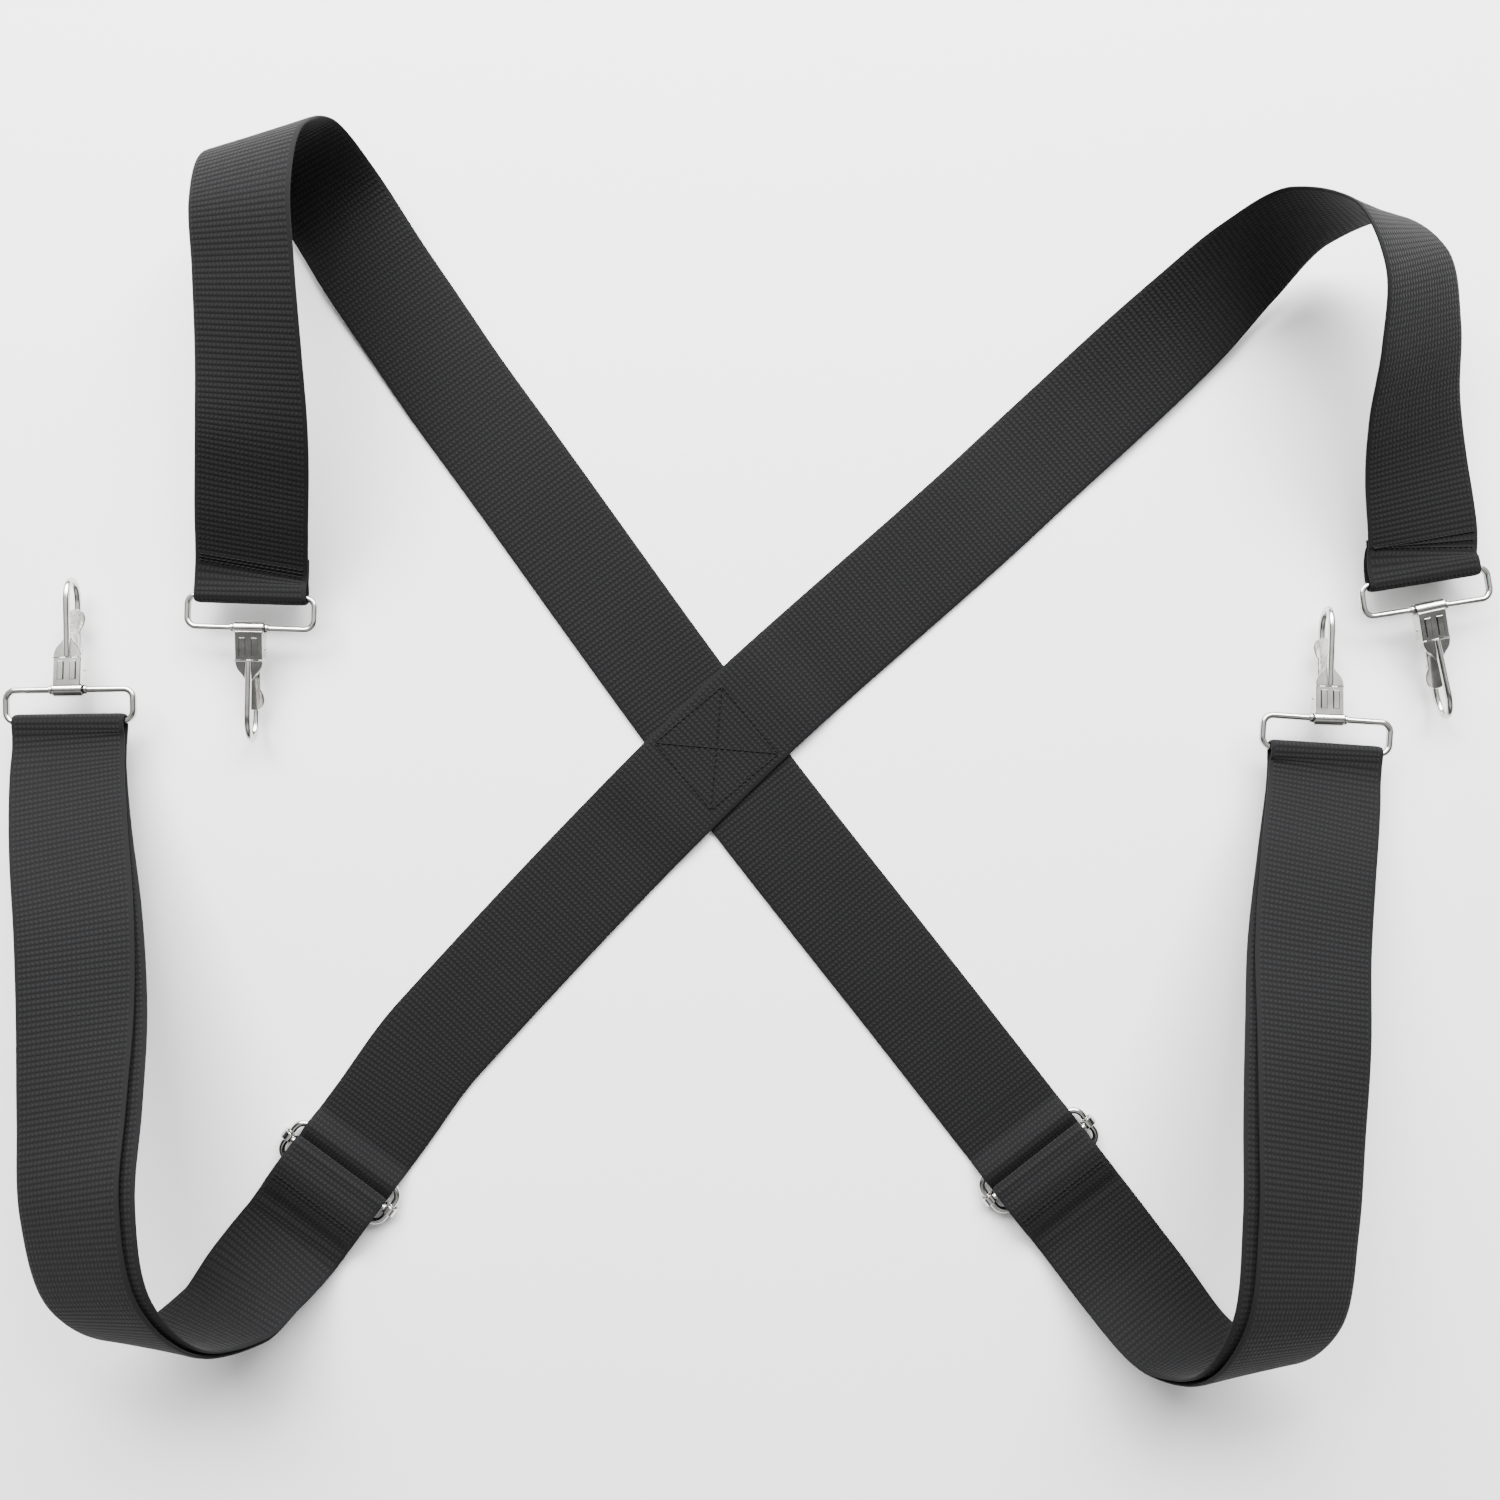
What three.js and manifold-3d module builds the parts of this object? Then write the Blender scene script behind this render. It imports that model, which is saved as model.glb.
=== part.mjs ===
// X-back webbing strap set with four trigger snap hooks and two slide adjusters.
// Two straps cross and are sewn together. Each strap has a hook sewn on at its upper end, and at its
// lower end runs through a slide adjuster, round the bar of a second hook and back to the adjuster.
// Millimetres, +Z up. The set lies flat and the origin is on the surface it lies on, under the crossing.
import * as THREE from "three";
import { mergeVertices } from "three/addons/utils/BufferGeometryUtils.js";
import Module from "manifold-3d";

const wasm = await Module();
wasm.setup();

// Webbing.
const webbingWidth = 50;
const webbingThickness = 1.6;
const layerStep = webbingThickness + 0.35; // from one layer to the next lying on it
const restHeight = 0.8; // middle of a layer that lies on the surface
const foldBack = 21; // length sewn back on itself at an upper hook

// Wire loops of the hooks, and the hooks.
const wireRadius = 1.5;
const loopHalfWidth = 28.5; // wire centre to middle
const barSpacing = 14.2; // webbing bar to hook bar
const loopHeight = 14; // the loops' wires above the surface
const wrapRadius = wireRadius + 0.3 + webbingThickness / 2;
const barrelLength = 13.5;
const pinAlong = 9;
const pinHeight = -3.2;
const pinRadius = 0.8;
const hookReach = 49.5; // hook bar to the middle of the wire at the tip
const returnHeight = -9.6; // the hook's return arm, behind its shank

// Slide adjusters.
const frameHalfHeight = 9.3; // frame bar to middle
const frameHeight = 3.5;
const centreBarHeight = 5.5;
const sliderReach = 30; // the stretch of webbing either side of the centre bar that goes with it

const black = { color: 0x2b2b2d, roughness: 0.85, metalness: 0 };
const thread = { color: 0x202022, roughness: 0.7, metalness: 0 };
const nickel = { color: 0xc9cacb, roughness: 0.22, metalness: 1 };
const springSteel = { color: 0x9a9b9d, roughness: 0.35, metalness: 1 };

const part = new THREE.Group();

function addMesh(name, geometry, look, parent = part) {
  const mesh = new THREE.Mesh(geometry, new THREE.MeshStandardMaterial(look));
  mesh.name = name;
  parent.add(mesh);
  return mesh;
}

// ---- solids -------------------------------------------------------------------------------

function toSolid(geometry) {
  const bare = geometry.clone();
  bare.deleteAttribute("normal");
  bare.deleteAttribute("uv");
  const merged = mergeVertices(bare, 1e-4);
  return new wasm.Manifold(
    new wasm.Mesh({
      numProp: 3,
      vertProperties: new Float32Array(merged.attributes.position.array),
      triVerts: new Uint32Array(merged.index.array),
    }),
  );
}

function toGeometry(solid) {
  const mesh = solid.getMesh();
  const geometry = new THREE.BufferGeometry();
  geometry.setAttribute("position", new THREE.BufferAttribute(mesh.vertProperties, 3));
  geometry.setIndex(new THREE.BufferAttribute(mesh.triVerts, 1));
  geometry.computeVertexNormals();
  return geometry;
}

function join(geometries) {
  return geometries.map(toSolid).reduce((all, next) => all.add(next));
}

function box(x0, x1, y0, y1, z0, z1) {
  const geometry = new THREE.BoxGeometry(x1 - x0, y1 - y0, z1 - z0);
  return geometry.translate((x0 + x1) / 2, (y0 + y1) / 2, (z0 + z1) / 2);
}

// A rod along x from x0 to x1, with its axis through (y, z).
function rod(radius, x0, x1, y, z, sides = 16) {
  const geometry = new THREE.CylinderGeometry(radius, radius, x1 - x0, sides);
  return geometry.rotateZ(Math.PI / 2).translate((x0 + x1) / 2, y, z);
}

// A closed wire in the shape of a rectangle with round corners: a torus pulled apart at its quarters.
function wireRectangle(halfX, halfY, corner, radius) {
  const quarter = 4;
  const geometry = new THREE.TorusGeometry(corner, radius, 8, 4 * quarter);
  geometry.rotateZ(Math.PI / (4 * quarter));
  const p = geometry.attributes.position;
  for (let i = 0; i < p.count; i++) {
    p.setX(i, p.getX(i) + Math.sign(p.getX(i)) * (halfX - corner));
    p.setY(i, p.getY(i) + Math.sign(p.getY(i)) * (halfY - corner));
  }
  return geometry;
}

function sweptWire(curve, radius, steps, sides = 4) {
  const circle = new THREE.Shape();
  circle.absarc(0, 0, radius, 0, 2 * Math.PI);
  return new THREE.ExtrudeGeometry(circle, {
    steps,
    curveSegments: sides, // a full circle gets twice as many
    bevelEnabled: false,
    extrudePath: curve,
  });
}

// ---- webbing ------------------------------------------------------------------------------

// Stations of a route: [x, y, z, heading, rise]. Heading and rise are in degrees and turn the line
// across the webbing, from its left edge to its right edge as it runs towards the lower hook.
const upperA = [
  [-208.5, 68, 14, -2, 0],
  [-207, 83, 17, -4, 0],
  [-202, 108, 32, -6, 1],
  [-197, 135, 47, -6, 5],
  [-195, 166, 57, -5, 13],
  [-194, 198, 66, -3, 18],
  [-194, 228, 70, 0, 19],
  [-193, 255, 57, 5, 19],
  [-187, 264, 28, 20, 18],
  [-174, 247, 7, 30, 10],
  [-157, 220, 2.8, 33, 2],
  [-138, 192, 1.2, 34, 0],
  [-119, 164, restHeight, 35, 0],
  [-95, 131, restHeight, 35.5, 0],
  [0, 0, restHeight, 38, 0],
];
const upperB = [
  [317.5, 77, 14, 9, 0],
  [316, 93, 16, 12, -1],
  [310, 121, 23, 15, -7],
  [304, 148, 35, 18, -16],
  [300, 175, 50, 20, -24],
  [294, 204, 59, 21, -33],
  [280, 227, 52, 10, -45],
  [258, 231, 33, -18, -46],
  [236, 215, 20, -35, -34],
  [214, 194, 12, -42, -20],
  [191, 173, 7, -46, -9],
  [168, 152, 3.2, -47, -2],
  [145, 131, restHeight, -47, 0],
  [118, 106, restHeight, -47, 0],
  [0, 0, restHeight, -45, 0],
];
const lowerA = [
  [187, -239, 9, 34, -8],
  [207, -261, 27, 18, -20],
  [223, -260, 57, 0, -25],
  [234, -232, 79, -8, -22],
  [240, -194, 78, -10, -19],
  [245, -157, 69, -10, -13],
  [250, -122, 59, -10, -5],
  [255, -86, 46, -9, 0],
  [262.5, -51, 33, -9, 2],
  [270, -24, 20, -6, 1],
  [273.5, -1, 14, -4, 0],
];
const lowerB = [
  [-206, -237, 13, -28, 13],
  [-216, -249, 27, -16, 20],
  [-233, -249, 58, 2, 26],
  [-248, -223, 81, 10, 23],
  [-256, -186, 83, 11, 18],
  [-261, -149, 71, 9, 10],
  [-266, -113, 58, 8, 1],
  [-272, -75, 47, 8, -4],
  [-281, -41, 33, 7, -5],
  [-288, -12, 20, 4, -2],
  [-290, 12, 14, 1, 0],
];
const sliderA = { x: 147, y: -188, heading: 38 };
const sliderB = { x: -172, y: -193.5, heading: -36.5 };

// The point of a slider's run t beyond its centre bar, at height z, as a station.
function stationAt(slider, t, z) {
  const turn = ((slider.heading - 90) * Math.PI) / 180;
  return [slider.x + t * Math.cos(turn), slider.y + t * Math.sin(turn), z, slider.heading, 0];
}

// A station beside a hook's bar, squarely before it (side -1) or after it (side 1).
function besideBar(bar, side) {
  const turn = (bar[3] * Math.PI) / 180;
  return [bar[0] - side * 8 * Math.sin(turn), bar[1] + side * 8 * Math.cos(turn), bar[2] + 0.2, bar[3], 0];
}

// A smooth route through stations, read at a distance along it. Each reading has the point, the
// direction of the run, the line across the webbing and the normal.
function makeRoute(stations) {
  const along = [0];
  for (let i = 1; i < stations.length; i++) {
    const [a, b] = [stations[i - 1], stations[i]];
    along.push(along[i - 1] + Math.hypot(b[0] - a[0], b[1] - a[1], b[2] - a[2]));
  }
  const last = stations.length - 1;
  const slope = (i, k) => {
    const [a, b] = [Math.max(i - 1, 0), Math.min(i + 1, last)];
    return (stations[b][k] - stations[a][k]) / (along[b] - along[a]);
  };
  const value = (distance, k) => {
    let i = 0;
    while (i < last - 1 && distance > along[i + 1]) i++;
    const length = along[i + 1] - along[i];
    const t = (distance - along[i]) / length;
    const [p, q] = [stations[i][k], stations[i + 1][k]];
    const [u, v] = [slope(i, k) * length, slope(i + 1, k) * length];
    return p + t * (u + t * (3 * (q - p) - 2 * u - v + t * (2 * (p - q) + u + v)));
  };
  const at = (distance) => {
    const point = new THREE.Vector3(...[0, 1, 2].map((k) => value(distance, k)));
    const before = [0, 1, 2].map((k) => value(Math.max(distance - 0.5, 0), k));
    const after = [0, 1, 2].map((k) => value(Math.min(distance + 0.5, along[last]), k));
    const run = new THREE.Vector3(...after).sub(new THREE.Vector3(...before)).normalize();
    const heading = THREE.MathUtils.degToRad(value(distance, 3));
    const rise = THREE.MathUtils.degToRad(value(distance, 4));
    const across = new THREE.Vector3(
      Math.cos(rise) * Math.cos(heading),
      Math.cos(rise) * Math.sin(heading),
      Math.sin(rise),
    );
    across.addScaledVector(run, -across.dot(run)).normalize();
    const normal = new THREE.Vector3().crossVectors(across, run).normalize();
    return { point, run, across, normal };
  };
  return { length: along[last], at };
}

function smooth(t) {
  const c = Math.min(Math.max(t, 0), 1);
  return c * c * (3 - 2 * c);
}

// Webbing along a list of frames: a long box whose rings are moved onto the frames.
function webbing(frames) {
  const steps = frames.length - 1;
  const geometry = new THREE.BoxGeometry(steps, webbingThickness, webbingWidth, steps, 1, 3);
  const p = geometry.attributes.position;
  const moved = new THREE.Vector3();
  for (let i = 0; i < p.count; i++) {
    const frame = frames[Math.round(p.getX(i) + steps / 2)];
    moved.copy(frame.point);
    moved.addScaledVector(frame.normal, p.getY(i));
    moved.addScaledVector(frame.across, p.getZ(i));
    p.setXYZ(i, moved.x, moved.y, moved.z);
  }
  return geometry;
}

// A layer beside a route: offset(distance) along the normal and shift(distance) across.
function layer(route, from, to, steps, offset, shift = () => 0) {
  const frames = [];
  for (let i = 0; i <= steps; i++) {
    const distance = from + ((to - from) * i) / steps;
    const f = route.at(distance);
    f.point.addScaledVector(f.normal, offset(distance));
    f.point.addScaledVector(f.across, shift(distance));
    if (to < from) f.normal.negate();
    frames.push(f);
  }
  return frames;
}

// The turn round a hook's bar, from one face of the route to the other.
function turnRoundBar(end, startSide) {
  const frames = [];
  const steps = 8;
  for (let i = 1; i < steps; i++) {
    const a = (Math.PI * i) / steps;
    const out = end.normal.clone().multiplyScalar(startSide * Math.cos(a));
    out.addScaledVector(end.run, Math.sin(a));
    const point = end.point.clone().addScaledVector(out, wrapRadius);
    frames.push({ point, across: end.across, normal: out.clone() });
  }
  return frames;
}

// How far each of two layers stands off the middle between them, near a hook's bar and away from it.
function standOff(toBar) {
  const apart = layerStep / 2;
  return apart + (wrapRadius - apart) * smooth((14 - toBar) / 14);
}

// Upper part of a strap: sewn fold at the upper hook, raised fold, run over the crossing to the slider.
function upperPart(stations, slider, lift) {
  const approach = [-75, -sliderReach].map((t) => stationAt(slider, t, restHeight));
  const route = makeRoute([stations[0], besideBar(stations[0], 1), ...stations.slice(1), ...approach]);
  const onFace = (d) => standOff(d) * smooth((62 - d) / 30);
  const frames = layer(route, foldBack, 0, 7, (d) => -standOff(d));
  const bar = route.at(0);
  const flipped = { ...bar, run: bar.run.clone().negate() };
  frames.push(...turnRoundBar(flipped, -1));
  const folded = 330;
  frames.push(...layer(route, 0, folded, 38, onFace));
  frames.push(...layer(route, folded + 15, route.length, 22, onFace));
  for (const f of frames) {
    f.point.z += lift * smooth((62 - Math.hypot(f.point.x, f.point.y)) / 28);
  }
  return webbing(frames);
}

// Lower part: doubled webbing from the slider to the lower hook's bar and back.
function lowerPart(stations, slider, sideShift) {
  const level = [sliderReach + 0.3, sliderReach + 7].map((t) => stationAt(slider, t, 2.75));
  const end = stations.at(-1);
  const route = makeRoute([...level, ...stations.slice(0, -1), besideBar(end, -1), end]);
  const bar = route.length;
  const off = (d) => standOff(bar - d) + 0.8 * Math.sin((Math.PI * Math.min(d, bar)) / bar) ** 2;
  const shift = (d) => sideShift * Math.sin((Math.PI * Math.min(d, bar)) / bar) ** 2;
  const frames = layer(route, 0, bar, 38, off);
  frames.push(...turnRoundBar(route.at(bar), 1));
  frames.push(...layer(route, bar, 0, 38, (d) => -off(d), shift));
  return webbing(frames);
}

// ---- slider -------------------------------------------------------------------------------

// Height of the webbing that runs over the slider's frame bars and under its centre bar.
function runHeight(t) {
  const top = frameHeight + wrapRadius;
  const far = Math.abs(t) - frameHalfHeight;
  if (far < 0) return restHeight + (top - restHeight) * (0.5 - 0.5 * Math.cos((Math.PI * t) / frameHalfHeight));
  const end = t > 0 ? 2.75 - layerStep / 2 : restHeight;
  const reach = t > 0 ? sliderReach - frameHalfHeight : 10;
  return end + (top - end) * (0.5 + 0.5 * Math.cos(Math.PI * Math.min(far / reach, 1)));
}

// Webbing laid along a profile of [t, z] points in a slider's own frame.
function webbingOnProfile(profile) {
  const frames = profile.map(([t, z], i) => {
    const [a, b] = [profile[Math.max(i - 1, 0)], profile[Math.min(i + 1, profile.length - 1)]];
    const run = new THREE.Vector3(0, -(b[0] - a[0]), b[1] - a[1]).normalize();
    const across = new THREE.Vector3(1, 0, 0);
    return { point: new THREE.Vector3(0, -t, z), across, normal: new THREE.Vector3().crossVectors(across, run) };
  });
  return webbing(frames);
}

// The same profile moved off along its own normal.
function besideRun(t, offset) {
  const rise = (runHeight(t + 0.05) - runHeight(t - 0.05)) / 0.1;
  const n = Math.hypot(rise, 1);
  return [t - (offset * rise) / n, runHeight(t) + offset / n];
}

function threadedProfile() {
  const points = [];
  for (let t = -sliderReach + 0.3; t < sliderReach; t += 1.35) points.push([t, runHeight(t)]);
  points.push([sliderReach, runHeight(sliderReach)]);
  return points;
}

// From the doubled webbing, over the centre bar, round it and back between the layers to its sewn end.
function sewnEndProfile() {
  const points = [];
  for (let i = 0; i <= 12; i++) {
    const t = sliderReach - i * 1.7;
    const above = layerStep * (1 + smooth((27 - t) / 6));
    points.push([t, runHeight(t) + above]);
  }
  const crest = points.at(-1);
  const top = centreBarHeight + wrapRadius;
  for (let i = 1; i <= 4; i++) {
    const t = crest[0] * (1 - i / 5);
    points.push([t, top + (crest[1] - top) * smooth(t / crest[0])]);
  }
  for (let i = 0; i <= 10; i++) {
    const a = THREE.MathUtils.degToRad(90 + 21.5 * i);
    points.push([wrapRadius * Math.cos(a), centreBarHeight + wrapRadius * Math.sin(a)]);
  }
  for (let t = 4.2; t < 22; t += 1.4) points.push(besideRun(t, layerStep + 0.1));
  return points;
}

function centreBar() {
  const parts = [rod(wireRadius, -loopHalfWidth, loopHalfWidth, 0, centreBarHeight)];
  for (const side of [-1, 1]) {
    const eye = new THREE.CylinderGeometry(3.2, 3.2, 4, 20);
    parts.push(eye.translate(side * loopHalfWidth, 0, frameHeight));
  }
  let solid = join(parts);
  for (const side of [-1, 1]) {
    const hole = new THREE.CylinderGeometry(2.05, 2.05, 6, 20);
    solid = solid.subtract(toSolid(hole.translate(side * loopHalfWidth, 0, frameHeight)));
  }
  return toGeometry(solid);
}

function stitchRow(y, height, pitch, halfWidth) {
  const points = [];
  const count = Math.round((2 * halfWidth) / pitch);
  for (let i = 0; i <= count; i++) {
    const side = i % 2 ? 1.6 : -1.6;
    points.push(new THREE.Vector3(-halfWidth + i * pitch, y + side, height(y + side)));
  }
  return sweptWire(new THREE.CatmullRomCurve3(points, false, "catmullrom", 0.2), 0.3, count * 2, 2);
}

function addSlider(name, slider) {
  const group = new THREE.Group();
  group.position.set(slider.x, slider.y, 0);
  group.rotation.z = THREE.MathUtils.degToRad(slider.heading);
  part.add(group);
  const frame = wireRectangle(loopHalfWidth, frameHalfHeight, 5.2, wireRadius);
  addMesh(`${name}_slider_frame`, frame.translate(0, 0, frameHeight), nickel, group);
  addMesh(`${name}_slider_centre_bar`, centreBar(), nickel, group);
  addMesh(`${name}_strap_through_slider`, webbingOnProfile(threadedProfile()), black, group);
  addMesh(`${name}_strap_sewn_end`, webbingOnProfile(sewnEndProfile()), black, group);
  const onTop = (y) => runHeight(-y) + 2 * layerStep + webbingThickness / 2 + 0.75;
  addMesh(`${name}_slider_stitching`, stitchRow(-16.5, onTop, 4.5, 22.5), thread, group);
}

// ---- hooks --------------------------------------------------------------------------------

// A hook's own frame: x across, y from the hook bar to the tip, z to the front. The bar is the origin.
function wireLoop() {
  const loop = wireRectangle(loopHalfWidth, barSpacing / 2, 4.2, wireRadius).translate(0, -barSpacing / 2, 0);
  const collars = [-1, 1].map((side) => rod(2.3, side > 0 ? 7.1 : -8.5, side > 0 ? 8.5 : -7.1, 0, 0, 14));
  return toGeometry(join([loop, ...collars]));
}

function hookBody() {
  const shoulder = new THREE.Shape();
  shoulder.moveTo(-6.15, 1.5);
  shoulder.lineTo(6.15, 1.5);
  shoulder.lineTo(6.15, 13.4);
  shoulder.quadraticCurveTo(5.6, 16.2, 3.4, 17.6);
  shoulder.lineTo(1.5, 20.6);
  shoulder.lineTo(-1.5, 20.6);
  shoulder.lineTo(-3.4, 17.6);
  shoulder.quadraticCurveTo(-5.6, 16.2, -6.15, 13.4);
  const plate = new THREE.ExtrudeGeometry(shoulder, { depth: 1.2, curveSegments: 5, bevelEnabled: false });
  const front = 1.6;
  const middle = (front + returnHeight) / 2;
  const bendStart = 39.5;
  const bend = [];
  for (let i = 0; i <= 12; i++) {
    const a = Math.PI / 2 - (Math.PI * i) / 12;
    const y = bendStart + (hookReach - bendStart) * Math.cos(a);
    bend.push(new THREE.Vector3(0, y, middle + (front - middle) * Math.sin(a)));
  }
  const points = [new THREE.Vector3(0, 16, front), new THREE.Vector3(0, 28, front), ...bend];
  points.push(new THREE.Vector3(0, 33, returnHeight), new THREE.Vector3(0, 26.5, returnHeight));
  const smoothPath = new THREE.CatmullRomCurve3(points, false, "centripetal");
  const parts = [
    rod(3.1, -barrelLength / 2, barrelLength / 2, 0, 0, 20),
    plate.translate(0, 0, 1.9),
    box(-4.3, -1.2, 4.2, 11.6, 2.5, 3.8),
    box(1.2, 4.3, 4.2, 11.6, 2.5, 3.8),
    box(-6.15, 6.15, 11.9, 12.9, 2.5, 3.5),
    box(-5.6, -4.3, 1, 13.2, -5.2, 2.4),
    box(4.3, 5.6, 1, 13.2, -5.2, 2.4),
    sweptWire(smoothPath, wireRadius, 20, 4),
    new THREE.SphereGeometry(1.9, 8, 6).translate(0, 26.5, returnHeight),
  ];
  const solid = join(parts)
    .subtract(toSolid(rod(1.9, -9, 9, 0, 0, 16)))
    .subtract(toSolid(rod(pinRadius + 0.12, -9, 9, pinAlong, pinHeight, 12)));
  return toGeometry(solid);
}

// The gate: a sheet lever on the pin, its round end resting inside the return arm.
function gate() {
  const outline = new THREE.Shape();
  outline.moveTo(-3.9, 11.6);
  outline.lineTo(3.9, 11.6);
  outline.lineTo(2.7, 27);
  outline.quadraticCurveTo(4.6, 29.5, 4.6, 32.5);
  outline.absarc(0, 32.5, 4.6, 0, Math.PI);
  outline.quadraticCurveTo(-4.6, 29.5, -2.7, 27);
  const sheet = new THREE.ExtrudeGeometry(outline, { depth: 1.1, curveSegments: 6, bevelEnabled: false });
  sheet.translate(0, -pinAlong, -0.9).rotateX(THREE.MathUtils.degToRad(-7.5));
  sheet.translate(0, pinAlong, pinHeight);
  const tab = new THREE.SphereGeometry(3.6, 10, 6).scale(1, 1.25, 0.9).translate(0, 17.5, -5.6);
  const parts = [sheet, tab];
  for (const side of [-1, 1]) {
    const [x0, x1] = side > 0 ? [2.5, 3.9] : [-3.9, -2.5];
    parts.push(box(x0, x1, 7.2, 13.2, -4.9, -1.7));
  }
  const pinHole = rod(pinRadius + 0.12, -9, 9, pinAlong, pinHeight, 12);
  return toGeometry(join(parts).subtract(toSolid(pinHole)));
}

function gateSpring() {
  const points = [];
  const turns = 3;
  points.push(new THREE.Vector3(-1.7, 13.6, pinHeight + 1.2));
  for (let i = 0; i <= turns * 10; i++) {
    const a = (2 * Math.PI * i) / 10 - Math.PI / 2;
    const x = -1.7 + (3.4 * i) / (turns * 10);
    points.push(new THREE.Vector3(x, pinAlong - 1.5 * Math.cos(a), pinHeight - 1.5 * Math.sin(a)));
  }
  points.push(new THREE.Vector3(1.7, 13.2, pinHeight + 3.6));
  return sweptWire(new THREE.CatmullRomCurve3(points, false, "centripetal"), 0.3, 34, 2);
}

function addHook(name, bar, loopTurn, hookTurn) {
  const loop = new THREE.Group();
  const turn = THREE.MathUtils.degToRad(loopTurn);
  loop.position.set(bar[0] - barSpacing * Math.sin(turn), bar[1] + barSpacing * Math.cos(turn), loopHeight);
  loop.rotation.z = turn;
  part.add(loop);
  addMesh(`${name}_hook_wire_loop`, wireLoop(), nickel, loop);
  const hook = new THREE.Group();
  hook.rotation.z = THREE.MathUtils.degToRad(hookTurn);
  loop.add(hook);
  addMesh(`${name}_hook_body`, hookBody(), nickel, hook);
  addMesh(`${name}_hook_gate`, gate(), nickel, hook);
  const pin = rod(pinRadius, -6.1, 6.1, pinAlong, pinHeight, 12);
  addMesh(`${name}_hook_gate_pin`, pin, nickel, hook);
  addMesh(`${name}_hook_gate_spring`, gateSpring(), springSteel, hook);
}

// ---- stitching ----------------------------------------------------------------------------

// A sewn square with both diagonals through the two layers at the crossing.
function crossingStitching() {
  const top = restHeight + layerStep + webbingThickness / 2 + 0.6;
  const half = 20;
  const flat = (x, y) => new THREE.Vector3(x, y, top);
  const lines = [];
  const corners = [flat(-half, -half), flat(half, -half), flat(half, half), flat(-half, half)];
  for (let i = 0; i < 4; i++) lines.push([corners[i], corners[(i + 1) % 4]]);
  lines.push([corners[0], corners[2]], [corners[1], corners[3]]);
  const threads = lines.map(([a, b]) => {
    const length = a.distanceTo(b) + 0.8;
    const row = box(-length / 2, length / 2, -0.35, 0.35, -0.3, 0.3);
    return row
      .rotateZ(Math.atan2(b.y - a.y, b.x - a.x))
      .translate((a.x + b.x) / 2, (a.y + b.y) / 2, top);
  });
  return toGeometry(join(threads)).rotateZ(THREE.MathUtils.degToRad(-50));
}

// Two zigzag rows across the webbing where its end is sewn down below an upper hook's raised fold.
function endStitching(stations, toBar) {
  const route = makeRoute([stations[0], besideBar(stations[0], 1), ...stations.slice(1)]);
  const out = standOff(toBar) * smooth((62 - toBar) / 30) + webbingThickness / 2 + 1.05;
  const curve = new THREE.CatmullRomCurve3(
    Array.from({ length: 11 }, (_, i) => {
      const f = route.at(toBar + (i % 2 ? 1.3 : -1.3));
      return f.point.addScaledVector(f.across, -22.5 + i * 4.5).addScaledVector(f.normal, out);
    }),
    false,
    "catmullrom",
    0.2,
  );
  return sweptWire(curve, 0.3, 20, 2);
}

// ---- the set ------------------------------------------------------------------------------

addMesh("strap_a_upper", upperPart(upperA, sliderA, 0), black);
addMesh("strap_b_upper", upperPart(upperB, sliderB, layerStep), black);
addMesh("strap_a_lower_doubled", lowerPart(lowerA, sliderA, -5), black);
addMesh("strap_b_lower_doubled", lowerPart(lowerB, sliderB, 5), black);
addSlider("right", sliderA);
addSlider("left", sliderB);
addMesh("crossing_stitching", crossingStitching(), thread);
addMesh("upper_left_end_stitching", endStitching(upperA, 15), thread);
addMesh("upper_right_end_stitching", endStitching(upperB, 15), thread);
addHook("upper_left", upperA[0], 178, 1);
addHook("upper_right", upperB[0], -171, 3);
addHook("lower_left", lowerB.at(-1), 1, 0);
addHook("lower_right", lowerA.at(-1), -4, 2);

export default part;
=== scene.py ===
# Crossed webbing straps with four trigger snap hooks and two slide adjusters, laid out on a pale table.
# Shapes are worked out in millimetres in the CAD frame and turned into metres when meshes are made.
import math

import bmesh
import bpy
from mathutils import Matrix, Vector


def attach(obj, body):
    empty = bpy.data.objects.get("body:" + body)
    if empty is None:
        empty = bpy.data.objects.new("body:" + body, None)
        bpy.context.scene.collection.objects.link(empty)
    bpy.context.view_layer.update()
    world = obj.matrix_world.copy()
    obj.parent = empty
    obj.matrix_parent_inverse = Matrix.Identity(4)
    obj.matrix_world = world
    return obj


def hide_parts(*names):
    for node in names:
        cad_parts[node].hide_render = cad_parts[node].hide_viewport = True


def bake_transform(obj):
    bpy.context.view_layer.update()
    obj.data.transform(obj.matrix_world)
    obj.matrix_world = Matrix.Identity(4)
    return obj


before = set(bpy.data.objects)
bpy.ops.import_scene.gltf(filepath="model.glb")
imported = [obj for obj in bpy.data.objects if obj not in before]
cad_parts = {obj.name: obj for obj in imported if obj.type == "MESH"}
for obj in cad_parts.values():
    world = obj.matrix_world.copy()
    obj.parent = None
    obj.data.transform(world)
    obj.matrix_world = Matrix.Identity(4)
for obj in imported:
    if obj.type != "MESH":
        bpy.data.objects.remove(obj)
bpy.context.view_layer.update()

MM = 0.001

# Edges that bend more than this are kept sharp.
METAL_SHARP = math.radians(40)
WEBBING_SHARP = math.radians(55)

# Millimetres of webbing that one unit of its texture coordinates spans.
UV_SPAN = 100.0

# Webbing.
WIDTH = 50.0
THICK = 1.6
LAYER_STEP = THICK + 0.35
REST = 0.8
FOLD_BACK = 21.0
SELVAGE = 2.0
ROW_PITCH = 2.34
BUMP_PITCH = 1.9

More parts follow.
